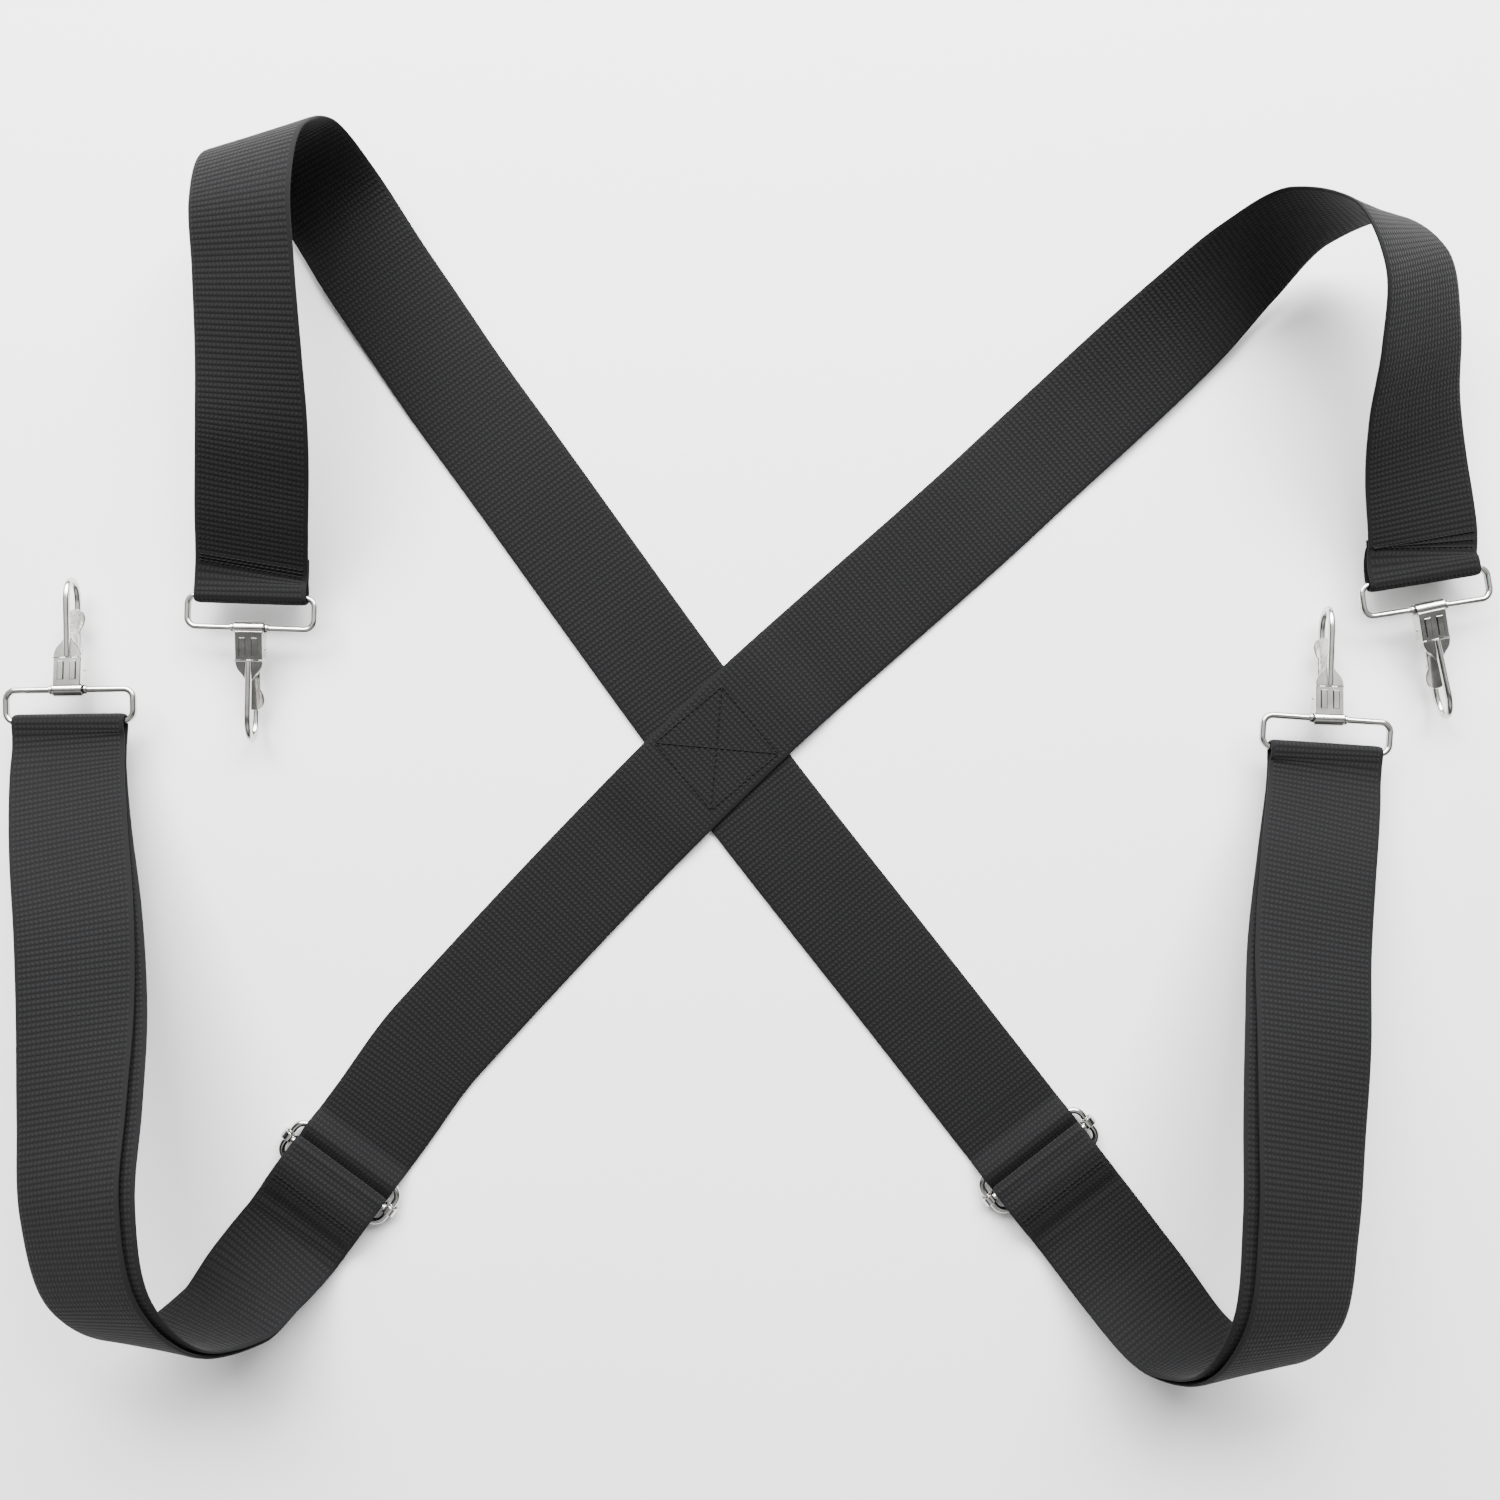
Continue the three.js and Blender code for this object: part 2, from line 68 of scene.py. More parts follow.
# Hooks, loops and adjusters.
WIRE = 1.5
LOOP_HALF = 28.5
BAR_SPACING = 14.2
LOOP_HEIGHT = 14.0
WRAP = WIRE + 0.3 + THICK / 2
PIN_ALONG = 9.0
PIN_HEIGHT = -3.2
REACH = 49.5
RETURN_HEIGHT = -9.6
PLATE_SLOPE = math.radians(5.5)
GATE_LEAN = math.radians(7.5)
FRAME_HALF = 9.3
FRAME_HEIGHT = 3.5
CENTRE_BAR_HEIGHT = 5.5
SLIDER_REACH = 30.0

# Length of the doubled webbing next to an adjuster that is made as separate under and over layers.
SOFT_STRETCH = 34.0

# Stations of each route: x, y, z, heading and rise of the line across the webbing.
UPPER_A = [
    (-208.5, 68, 14, -2, 0),
    (-207, 83, 17, -4, 0),
    (-202, 108, 32, -6, 1),
    (-197, 135, 47, -6, 5),
    (-195, 166, 57, -5, 13),
    (-194, 198, 66, -3, 18),
    (-194, 228, 70, 0, 19),
    (-193, 255, 57, 5, 19),
    (-187, 264, 28, 20, 18),
    (-174, 247, 7, 30, 10),
    (-157, 220, 2.8, 33, 2),
    (-138, 192, 1.2, 34, 0),
    (-119, 164, REST, 35, 0),
    (-95, 131, REST, 35.5, 0),
    (0, 0, REST, 38, 0),
]
UPPER_B = [
    (317.5, 77, 14, 9, 0),
    (316, 93, 16, 12, -1),
    (310, 121, 23, 15, -7),
    (304, 148, 35, 18, -16),
    (300, 175, 50, 20, -24),
    (294, 204, 59, 21, -33),
    (280, 227, 52, 10, -45),
    (258, 231, 33, -18, -46),
    (236, 215, 20, -35, -34),
    (214, 194, 12, -42, -20),
    (191, 173, 7, -46, -9),
    (168, 152, 3.2, -47, -2),
    (145, 131, REST, -47, 0),
    (118, 106, REST, -47, 0),
    (0, 0, REST, -45, 0),
]
LOWER_A = [
    (187, -239, 9, 34, -8),
    (207, -261, 27, 18, -20),
    (223, -260, 57, 0, -25),
    (234, -232, 79, -8, -22),
    (240, -194, 78, -10, -19),
    (245, -157, 69, -10, -13),
    (250, -122, 59, -10, -5),
    (255, -86, 46, -9, 0),
    (262.5, -51, 33, -9, 2),
    (270, -24, 20, -6, 1),
    (273.5, -1, 14, -4, 0),
]
LOWER_B = [
    (-206, -237, 13, -28, 13),
    (-216, -249, 27, -16, 20),
    (-233, -249, 58, 2, 26),
    (-248, -223, 81, 10, 23),
    (-256, -186, 83, 11, 18),
    (-261, -149, 71, 9, 10),
    (-266, -113, 58, 8, 1),
    (-272, -75, 47, 8, -4),
    (-281, -41, 33, 7, -5),
    (-288, -12, 20, 4, -2),
    (-290, 12, 14, 1, 0),
]
SLIDER_A = (147.0, -188.0, 38.0)
SLIDER_B = (-172.0, -193.5, -36.5)


def smooth(t):
    c = min(max(t, 0.0), 1.0)
    return c * c * (3 - 2 * c)


# ---- routes ---------------------------------------------------------------------------------


def slider_direction(slider):
    turn = math.radians(slider[2] - 90)
    return Vector((math.cos(turn), math.sin(turn), 0))


def station_at(slider, t, z):
    d = slider_direction(slider)
    return (slider[0] + t * d.x, slider[1] + t * d.y, z, slider[2], 0)


def beside_bar(bar, side):
    turn = math.radians(bar[3])
    x = bar[0] - side * 8 * math.sin(turn)
    y = bar[1] + side * 8 * math.cos(turn)
    return (x, y, bar[2] + 0.2, bar[3], 0)


class Route:
    """A smooth curve through stations, read at a distance along it."""

    def __init__(self, stations):
        self.stations = stations
        self.along = [0.0]
        for a, b in zip(stations, stations[1:]):
            self.along.append(self.along[-1] + math.dist(a[:3], b[:3]))
        self.length = self.along[-1]

    def slope(self, i, k):
        a = max(i - 1, 0)
        b = min(i + 1, len(self.stations) - 1)
        rise = self.stations[b][k] - self.stations[a][k]
        return rise / (self.along[b] - self.along[a])

    def value(self, distance, k):
        i = 0
        while i < len(self.along) - 2 and distance > self.along[i + 1]:
            i += 1
        length = self.along[i + 1] - self.along[i]
        t = (distance - self.along[i]) / length
        p, q = self.stations[i][k], self.stations[i + 1][k]
        u, v = self.slope(i, k) * length, self.slope(i + 1, k) * length
        return p + t * (u + t * (3 * (q - p) - 2 * u - v + t * (2 * (p - q) + u + v)))

    def at(self, distance):
        point = Vector([self.value(distance, k) for k in range(3)])
        before = Vector([self.value(max(distance - 0.5, 0), k) for k in range(3)])
        after = Vector([self.value(min(distance + 0.5, self.length), k) for k in range(3)])
        run = (after - before).normalized()
        heading = math.radians(self.value(distance, 3))
        rise = math.radians(self.value(distance, 4))
        flat = Vector((math.cos(heading), math.sin(heading), 0)) * math.cos(rise)
        across = flat + Vector((0, 0, math.sin(rise)))
        across = (across - run * across.dot(run)).normalized()
        return [point, across, across.cross(run).normalized(), run]


def layer(route, start, end, steps, offset, shift=lambda d: 0.0):
    frames = []
    for i in range(steps + 1):
        d = start + (end - start) * i / steps
        point, across, normal, run = route.at(d)
        point = point + normal * offset(d) + across * shift(d)
        if end < start:
            normal = -normal
        frames.append((point, across, normal))
    return frames


def turn_round_bar(end, run, start_side):
    frames = []
    steps = 12
    for i in range(1, steps):
        a = math.pi * i / steps
        out = end[2] * (start_side * math.cos(a)) + run * math.sin(a)
        frames.append((end[0] + out * WRAP, end[1], out))
    return frames


def stand_off(to_bar):
    apart = LAYER_STEP / 2
    return apart + (WRAP - apart) * smooth((14 - to_bar) / 14)


def upper_face(d):
    return stand_off(d) * smooth((62 - d) / 30)


def upper_route(stations, slider):
    approach = [station_at(slider, t, REST) for t in (-75, -SLIDER_REACH)]
    return Route([stations[0], beside_bar(stations[0], 1), *stations[1:], *approach])


def upper_frames(stations, slider, lift):
    route = upper_route(stations, slider)
    bar = route.at(0)
    frames = layer(route, FOLD_BACK, 0, 10, lambda d: -stand_off(d))
    frames += turn_round_bar(bar, -bar[3], -1)
    frames += layer(route, 0, route.length, 270, upper_face)
    lifted = []
    for point, across, normal in frames:
        height = lift * smooth((62 - math.hypot(point.x, point.y)) / 28)
        lifted.append((point + Vector((0, 0, height)), across, normal))
    return lifted


def lower_route(stations, slider):
    level = [station_at(slider, t, 2.75) for t in (SLIDER_REACH, SLIDER_REACH + 7)]
    end = stations[-1]
    return Route([*level, *stations[:-1], beside_bar(end, -1), end])


def lower_frames(stations, slider, side_shift, split):
    """The doubled webbing, as the run next to the slider (two layers) and the rest."""
    route = lower_route(stations, slider)
    bar = route.length

    def off(d):
        return stand_off(bar - d) + 0.8 * math.sin(math.pi * min(d, bar) / bar) ** 2

    def shift(d):
        return side_shift * math.sin(math.pi * min(d, bar) / bar) ** 2

    near_under = layer(route, 0, split, 14, off)
    near_over = layer(route, split, 0, 14, lambda d: -off(d), shift)
    rest = layer(route, split, bar, 130, off)
    rest += turn_round_bar(route.at(bar), route.at(bar)[3], 1)
    rest += layer(route, bar, split, 130, lambda d: -off(d), shift)
    return near_under, near_over, rest


def run_height(t):
    top = FRAME_HEIGHT + WRAP
    far = abs(t) - FRAME_HALF
    if far < 0:
        return REST + (top - REST) * (0.5 - 0.5 * math.cos(math.pi * t / FRAME_HALF))
    end = 2.75 - LAYER_STEP / 2 if t > 0 else REST
    reach = SLIDER_REACH - FRAME_HALF if t > 0 else 10
    return end + (top - end) * (0.5 + 0.5 * math.cos(math.pi * min(far / reach, 1)))


def beside_run(t, offset):
    rise = (run_height(t + 0.05) - run_height(t - 0.05)) / 0.1
    n = math.hypot(rise, 1)
    return (t - offset * rise / n, run_height(t) + offset / n)


def threaded_profile():
    count = 60
    span = 2 * SLIDER_REACH
    return [(t, run_height(t)) for t in (span * i / count - SLIDER_REACH for i in range(count + 1))]


def sewn_end_profile():
    points = []
    for i in range(25):
        t = SLIDER_REACH - i * 0.85
        above = LAYER_STEP * (1 + smooth((27 - t) / 6))
        points.append((t, run_height(t) + above))
    crest = points[-1]
    top = CENTRE_BAR_HEIGHT + WRAP
    for i in range(1, 8):
        t = crest[0] * (1 - i / 9)
        points.append((t, top + (crest[1] - top) * smooth(t / crest[0])))
    for i in range(16):
        a = math.radians(90 + 215 * i / 15)
        points.append((WRAP * math.cos(a), CENTRE_BAR_HEIGHT + WRAP * math.sin(a)))
    t = 4.2
    while t < 22:
        points.append(beside_run(t, LAYER_STEP + 0.1))
        t += 0.8
    return points


def profile_frames(profile, slider):
    run = slider_direction(slider)
    turn = math.radians(slider[2])
    across = Vector((math.cos(turn), math.sin(turn), 0))
    origin = Vector((slider[0], slider[1], 0))
    frames = []
    for i, (t, z) in enumerate(profile):
        a, b = profile[max(i - 1, 0)], profile[min(i + 1, len(profile) - 1)]
        along = (run * (b[0] - a[0]) + Vector((0, 0, b[1] - a[1]))).normalized()
        point = origin + run * t + Vector((0, 0, z))
        frames.append((point, across, across.cross(along).normalized()))
    return frames


# ---- mesh building ----------------------------------------------------------------------------


class Shape:
    """Collects rings and faces in millimetres and makes one mesh object of them in metres."""

    def __init__(self):
        self.points = []
        self.faces = []

    def ring(self, points):
        start = len(self.points)
        self.points += [Vector(p) for p in points]
        return list(range(start, start + len(points)))

    def bridge(self, a, b):
        n = len(a)
        for i in range(n):
            j = (i + 1) % n
            self.faces.append((a[i], a[j], b[j], b[i]))

    def skin(self, rings, closed=False):
        indices = [self.ring(r) for r in rings]
        for a, b in zip(indices, indices[1:]):
            self.bridge(a, b)
        if closed:
            self.bridge(indices[-1], indices[0])
        else:
            self.faces.append(tuple(reversed(indices[0])))
            self.faces.append(tuple(indices[-1]))

    def rod(self, radius, x0, x1, y, z, sides=28, chamfer=0.25):
        """A rod along x with softly broken ends."""
        c = min(chamfer, radius * 0.4)
        outline = [(x0, radius - c), (x0 + c, radius), (x1 - c, radius), (x1, radius - c)]
        self.skin([self.circle(x, r, y, z, sides) for x, r in outline])

    def circle(self, x, radius, y, z, sides):
        angles = [2 * math.pi * i / sides for i in range(sides)]
        return [(x, y + radius * math.cos(a), z + radius * math.sin(a)) for a in angles]

    def pipe(self, outer, inner, x0, x1, y, z, sides=32, chamfer=0.3):
        """A tube along x, open at both ends, with broken edges."""
        c = chamfer
        outline = [(x0 + c, outer), (x1 - c, outer), (x1, outer - c), (x1, inner + c)]
        outline += [(x1 - c, inner), (x0 + c, inner), (x0, inner + c), (x0, outer - c)]
        self.skin([self.circle(x, r, y, z, sides) for x, r in outline], closed=True)

    def tube(self, points, radius, closed=False, sides=16):
        """Round wire along points."""
        points = [Vector(p) for p in points]
        n = len(points)
        rings = []
        side = None
        for i, p in enumerate(points):
            if closed:
                run = (points[(i + 1) % n] - points[i - 1]).normalized()
            else:
                run = (points[min(i + 1, n - 1)] - points[max(i - 1, 0)]).normalized()
            if side is None:
                side = Vector((1, 0, 0)) if abs(run.x) < 0.9 else Vector((0, 0, 1))
            side = (side - run * side.dot(run)).normalized()
            up = run.cross(side)
            ring = []
            for k in range(sides):
                a = 2 * math.pi * k / sides
                ring.append(p + side * (radius * math.cos(a)) + up * (radius * math.sin(a)))
            rings.append(ring)
        self.skin(rings, closed)

    def plate(self, outline, z0, z1, chamfer=0.3):
        """A flat plate with its outline in x, y and chamfered edges."""
        middle = Vector((sum(p[0] for p in outline), sum(p[1] for p in outline))) / len(outline)
        rings = []
        for z, inset in ((z0, chamfer), (z0 + chamfer, 0), (z1 - chamfer, 0), (z1, chamfer)):
            ring = []
            for i, p in enumerate(outline):
                a = Vector(outline[i - 1])
                b = Vector(outline[(i + 1) % len(outline)])
                along = (b - a).normalized()
                inward = Vector((-along.y, along.x))
                if inward.dot(middle - Vector(p)) < 0:
                    inward = -inward
                ring.append((p[0] + inward.x * inset, p[1] + inward.y * inset, z))
            rings.append(ring)
        self.skin(rings)

    def box(self, x0, x1, y0, y1, z0, z1, chamfer=0.25):
        self.plate([(x0, y0), (x1, y0), (x1, y1), (x0, y1)], z0, z1, chamfer)

    def place(self, matrix, start=0):
        for i in range(start, len(self.points)):
            self.points[i] = matrix @ self.points[i]

    def make(self, name, material):
        mesh = bpy.data.meshes.new(name)
        mesh.from_pydata([p * MM for p in self.points], [], self.faces)
        mesh.validate()
        mesh.update()
        obj = bpy.data.objects.new(name, mesh)
        bpy.context.scene.collection.objects.link(obj)
        fix_normals(obj)
        mesh.materials.append(material)
        mesh.shade_smooth()
        mesh.set_sharp_from_angle(angle=METAL_SHARP)
        return obj


def fix_normals(obj):
    mesh = bmesh.new()
    mesh.from_mesh(obj.data)
    bmesh.ops.recalc_face_normals(mesh, faces=mesh.faces)
    mesh.to_mesh(obj.data)
    mesh.free()


def webbing_section():
    """The section of the webbing, as shares of its half width and half thickness, thinner at the edges."""
    columns = [-1.0, -0.965, -0.9, -0.6, -0.2, 0.2, 0.6, 0.9, 0.965, 1.0]
    top = [(c, 0.35 if abs(c) > 0.98 else (0.8 if abs(c) > 0.95 else 1.0)) for c in columns]
    bottom = [(c, -h) for c, h in reversed(top)]
    return top + bottom


def webbing(name, frames, material):
    section = webbing_section()
    n = len(section)
    points, faces, corners = [], [], []
    along = [0.0]
    for a, b in zip(frames, frames[1:]):
        along.append(along[-1] + (b[0] - a[0]).length)
    for point, across, normal in frames:
        for side, height in section:
            edge = across * (side * WIDTH / 2)
            points.append((point + edge + normal * (height * THICK / 2)) * MM)
    for i in range(len(frames) - 1):
        for k in range(n):
            m = (k + 1) % n
            faces.append((i * n + k, i * n + m, (i + 1) * n + m, (i + 1) * n + k))
            u0, u1 = section[k][0] * WIDTH / 2, section[m][0] * WIDTH / 2
            v0, v1 = along[i], along[i + 1]
            corners += [(u0, v0), (u1, v0), (u1, v1), (u0, v1)]
    last = (len(frames) - 1) * n
    for cap in (range(n - 1, -1, -1), range(last, last + n)):
        cap = list(cap)
        faces.append(tuple(cap))
        corners += [(0.0, 0.0)] * n
    mesh = bpy.data.meshes.new(name)
    mesh.from_pydata(points, [], faces)
    layer_uv = mesh.uv_layers.new(name="UVMap")
    for loop, (u, v) in zip(layer_uv.data, corners):
        loop.uv = (u / UV_SPAN, v / UV_SPAN)
    mesh.update()
    obj = bpy.data.objects.new(name, mesh)
    bpy.context.scene.collection.objects.link(obj)
    fix_normals(obj)
    mesh.materials.append(material)
    mesh.shade_smooth()
    mesh.set_sharp_from_angle(angle=WEBBING_SHARP)
    return obj


# ---- materials --------------------------------------------------------------------------------


class Nodes:
    """Small helper that adds and links shader nodes."""

    def __init__(self, name):
        self.material = bpy.data.materials.new(name)
        self.material.use_nodes = True
        self.tree = self.material.node_tree
        self.shader = self.tree.nodes["Principled BSDF"]

    def add(self, kind, **settings):
        node = self.tree.nodes.new(kind)
        for key, value in settings.items():
            setattr(node, key, value)
        return node

    def link(self, output, node, socket):
        self.tree.links.new(output, node.inputs[socket])

    def math(self, operation, a, b=None):
        node = self.add("ShaderNodeMath", operation=operation)
        for i, value in enumerate((a, b)):
            if value is None:
                continue
            if isinstance(value, (int, float)):
                node.inputs[i].default_value = value
            else:
                self.link(value, node, i)
        return node.outputs[0]

    def ramp(self, value, stops):
        node = self.add("ShaderNodeValToRGB")
        elements = node.color_ramp.elements
        while len(elements) < len(stops):
            elements.new(0.5)
        for element, (position, colour) in zip(elements, stops):
            element.position = position
            element.color = (*colour, 1)
        self.link(value, node, "Fac")
        return node.outputs["Color"]

    def noise(self, scale, detail=3.0, vector=None):
        node = self.add("ShaderNodeTexNoise")
        node.inputs["Scale"].default_value = scale
        node.inputs["Detail"].default_value = detail
        if vector is None:
            vector = self.add("ShaderNodeTexCoord").outputs["Object"]
        self.link(vector, node, "Vector")
        return node.outputs["Fac"]

    def bump(self, height, strength, distance):
        node = self.add("ShaderNodeBump")
        node.inputs["Strength"].default_value = strength
        node.inputs["Distance"].default_value = distance
        self.link(height, node, "Height")
        self.link(node.outputs["Normal"], self.shader, "Normal")

    def set(self, **values):
        for key, value in values.items():
            self.shader.inputs[key.replace("_", " ")].default_value = value


def webbing_material():
    """Plain weave: rows of small bumps across the webbing, with a smooth thin edge."""
    n = Nodes("black_webbing")
    uv = n.add("ShaderNodeUVMap", uv_map="UVMap")
    split = n.add("ShaderNodeSeparateXYZ")
    n.link(uv.outputs["UV"], split, "Vector")
    across = n.math("MULTIPLY", split.outputs["X"], UV_SPAN)
    along = n.math("MULTIPLY", split.outputs["Y"], UV_SPAN)
    row_phase = n.math("MULTIPLY", along, 2 * math.pi / ROW_PITCH)
    rows = n.math("COSINE", row_phase)
    column_phase = n.math("MULTIPLY", across, 2 * math.pi / BUMP_PITCH)
    half_row = n.math("MULTIPLY", row_phase, 0.5)
    lean = n.math("MULTIPLY", n.math("SINE", half_row), 0.9)
    columns = n.math("COSINE", n.math("ADD", column_phase, lean))
    yarn = n.math("MULTIPLY", n.math("ADD", rows, 1.0), 0.5)
    bead = n.math("MULTIPLY", n.math("ADD", columns, 1.0), 0.5)
    beads = n.math("ADD", n.math("MULTIPLY", bead, 0.6), 0.4)
    weave = n.math("MULTIPLY", n.math("POWER", yarn, 0.6), beads)
    edge = n.math("SUBTRACT", n.math("ABSOLUTE", across), WIDTH / 2 - SELVAGE)
    selvage = n.math("MINIMUM", n.math("MAXIMUM", n.math("MULTIPLY", edge, 2.0), 0.0), 1.0)
    plain = n.math("MULTIPLY", selvage, 0.45)
    woven = n.math("MULTIPLY", weave, n.math("SUBTRACT", 1.0, selvage))
    fibres = n.noise(2200.0, 2.0)
    height = n.math("ADD", n.math("ADD", woven, plain), n.math("MULTIPLY", fibres, 0.12))
    wear = n.noise(14.0, 4.0)
    # Painted shade and highlight, plus real wear: the colour follows the weave height. It is darker in the
    # grooves between yarns and lighter on the raised yarns, with random wear tone mixed in.
    groove_shade_and_wear = n.math("ADD", n.math("MULTIPLY", height, 0.75), n.math("MULTIPLY", wear, 0.25))
    dark = (0.0024, 0.0024, 0.0026)
    mid = (0.0048, 0.0048, 0.0052)
    light = (0.0105, 0.0105, 0.0112)
    colour = n.ramp(groove_shade_and_wear, [(0.1, dark), (0.5, mid), (0.95, light)])
    n.link(colour, n.shader, "Base Color")
    n.set(Roughness=0.8, Sheen_Weight=0.03, Sheen_Roughness=0.5, Specular_IOR_Level=0.13)
    n.bump(height, 0.55, 0.0005)
    return n.material


def thread_material():
    n = Nodes("black_thread")
    twist = n.noise(900.0, 1.0)
    colour = n.ramp(twist, [(0.3, (0.0012, 0.0012, 0.0012)), (0.7, (0.005, 0.005, 0.0052))])
    n.link(colour, n.shader, "Base Color")
    n.set(Roughness=0.8, Specular_IOR_Level=0.2)
    n.bump(twist, 0.6, 0.0002)
    return n.material


def nickel_material():
    """Bright nickel plate with faint polishing marks and a few duller patches."""
    n = Nodes("nickel_plate")
    patches = n.noise(90.0, 4.0)
    marks = n.noise(1500.0, 2.0)
    rough = n.math("ADD", n.math("MULTIPLY", patches, 0.16), n.math("MULTIPLY", marks, 0.08))
    n.link(n.math("ADD", rough, 0.05), n.shader, "Roughness")
    colour = n.ramp(patches, [(0.3, (0.52, 0.51, 0.49)), (0.65, (0.70, 0.69, 0.67))])
    n.link(colour, n.shader, "Base Color")
    n.set(Metallic=1.0)
    n.bump(marks, 0.12, 0.0001)
    return n.material


def spring_material():
    n = Nodes("spring_steel")
    marks = n.noise(700.0, 3.0)
    colour = n.ramp(marks, [(0.3, (0.35, 0.35, 0.36)), (0.7, (0.55, 0.55, 0.56))])
    n.link(colour, n.shader, "Base Color")
    n.set(Metallic=1.0, Roughness=0.32)
    n.bump(marks, 0.2, 0.0001)
    return n.material


def table_material():
    n = Nodes("table_top")
    colour = n.ramp(n.noise(3.0, 3.0), [(0.3, (0.93, 0.93, 0.93)), (0.7, (0.95, 0.95, 0.95))])
    n.link(colour, n.shader, "Base Color")
    n.set(Roughness=0.6)
    return n.material


WEBBING = webbing_material()
THREAD = thread_material()
NICKEL = nickel_material()
SPRING = spring_material()


def finish_piece(obj, body, slot, *nodes):
    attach(obj, body)
    if nodes:
        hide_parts(*nodes)
    return obj


# ---- straps -----------------------------------------------------------------------------------


def make_strap(letter, side, upper, lower, slider, lift, side_shift):
    piece = webbing(f"strap_{letter}_upper_webbing", upper_frames(upper, slider, lift), WEBBING)
    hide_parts(f"strap_{letter}_upper")
    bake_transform(piece)
    split = SOFT_STRETCH
    under, over, rest = lower_frames(lower, slider, side_shift, split)
    doubled = webbing(f"strap_{letter}_doubled_webbing", rest, WEBBING)
    finish_piece(doubled, "straps", "black_webbing", f"strap_{letter}_lower_doubled")
    for name, frames in (("under", under), ("over", over)):
        part = webbing(f"strap_{letter}_{name}_layer_at_slider", frames, WEBBING)
        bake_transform(part)
    threaded = webbing(
        f"strap_{letter}_threaded_webbing", profile_frames(threaded_profile(), slider), WEBBING
    )
    finish_piece(threaded, f"{side}_slider", "black_webbing", f"{side}_strap_through_slider")
    sewn = webbing(
        f"strap_{letter}_sewn_end_webbing", profile_frames(sewn_end_profile(), slider), WEBBING
    )
    finish_piece(sewn, f"{side}_slider", "black_webbing", f"{side}_strap_sewn_end")


make_strap("a", "right", UPPER_A, LOWER_A, SLIDER_A, 0.0, -5.0)
make_strap("b", "left", UPPER_B, LOWER_B, SLIDER_B, LAYER_STEP, 5.0)


# ---- stitching --------------------------------------------------------------------------------


def stitches(shape, start, end, normal, pitch=2.6, gap=0.7, radius=0.32):
    """Separate arched stitches along a straight line on the surface."""
    length = (end - start).length
    count = max(int(length / pitch), 1)
    step = (end - start) / count
    for i in range(count):
        a = start + step * (i + gap * 0.15)
        b = start + step * (i + 1 - gap * 0.15)
        points = []
        for k in range(6):
            f = k / 5
            points.append(a + (b - a) * f + normal * (0.42 * math.sin(math.pi * f) - 0.12))
        shape.tube(points, radius, sides=8)


def crossing_stitching():
    shape = Shape()
    top = REST + LAYER_STEP + THICK / 2
    turn = Matrix.Rotation(math.radians(-50), 4, "Z")
    corners = [turn @ Vector((x, y, top)) for x, y in ((-20, -20), (20, -20), (20, 20), (-20, 20))]
    up = Vector((0, 0, 1))
    for i in range(4):
        stitches(shape, corners[i], corners[(i + 1) % 4], up)
    stitches(shape, corners[0], corners[2], up)
    stitches(shape, corners[1], corners[3], up)
    obj = shape.make("crossing_box_stitches", THREAD)
    finish_piece(obj, "straps", "black_thread", "crossing_stitching")


def upper_end_stitching(name, stations, slider):
    shape = Shape()
    route = upper_route(stations, slider)
    for to_bar in (13.4, 15.0, 16.6):
        point, across, normal, run = route.at(to_bar)
        point = point + normal * (upper_face(to_bar) + THICK / 2)
        stitches(shape, point - across * 23, point + across * 23, normal, pitch=2.3)
    obj = shape.make(f"{name}_end_stitches", THREAD)
    finish_piece(obj, "straps", "black_thread", f"{name}_end_stitching")


def slider_end_stitching(side, slider):
    shape = Shape()
    run = slider_direction(slider)
    turn = math.radians(slider[2])
    across = Vector((math.cos(turn), math.sin(turn), 0))
    for t in (15.3, 17.2):
        z = run_height(t) + 2 * LAYER_STEP + THICK / 2
        middle = Vector((slider[0], slider[1], z)) + run * t
        stitches(shape, middle - across * 23, middle + across * 23, Vector((0, 0, 1)), pitch=2.3)
    obj = shape.make(f"{side}_slider_end_stitches", THREAD)
    finish_piece(obj, f"{side}_slider", "black_thread", f"{side}_slider_stitching")


crossing_stitching()
upper_end_stitching("upper_left", UPPER_A, SLIDER_A)
upper_end_stitching("upper_right", UPPER_B, SLIDER_B)
slider_end_stitching("right", SLIDER_A)
slider_end_stitching("left", SLIDER_B)


# ---- metal ------------------------------------------------------------------------------------


def rounded_rectangle(half_x, half_y, corner, z=0.0, steps=10, straight=8):
    points = []
    centres = [(1, 1, 0), (-1, 1, 90), (-1, -1, 180), (1, -1, 270)]
    for sx, sy, first in centres:
        for i in range(steps + 1):
            a = math.radians(first + 90 * i / steps)
            x = sx * (half_x - corner) + corner * math.cos(a)
            y = sy * (half_y - corner) + corner * math.sin(a)
            points.append((x, y, z))
        nxt = centres[(centres.index((sx, sy, first)) + 1) % 4]
        b = math.radians(first + 90)
        end = Vector((nxt[0] * (half_x - corner), nxt[1] * (half_y - corner), z))
        end += Vector((corner * math.cos(b), corner * math.sin(b), 0))
        begin = Vector(points[-1])
        points += [tuple(begin.lerp(end, k / straight)) for k in range(1, straight)]
    return points


def slider_matrix(slider):
    turn = Matrix.Rotation(math.radians(slider[2]), 4, "Z")
    return Matrix.Translation((slider[0], slider[1], 0)) @ turn


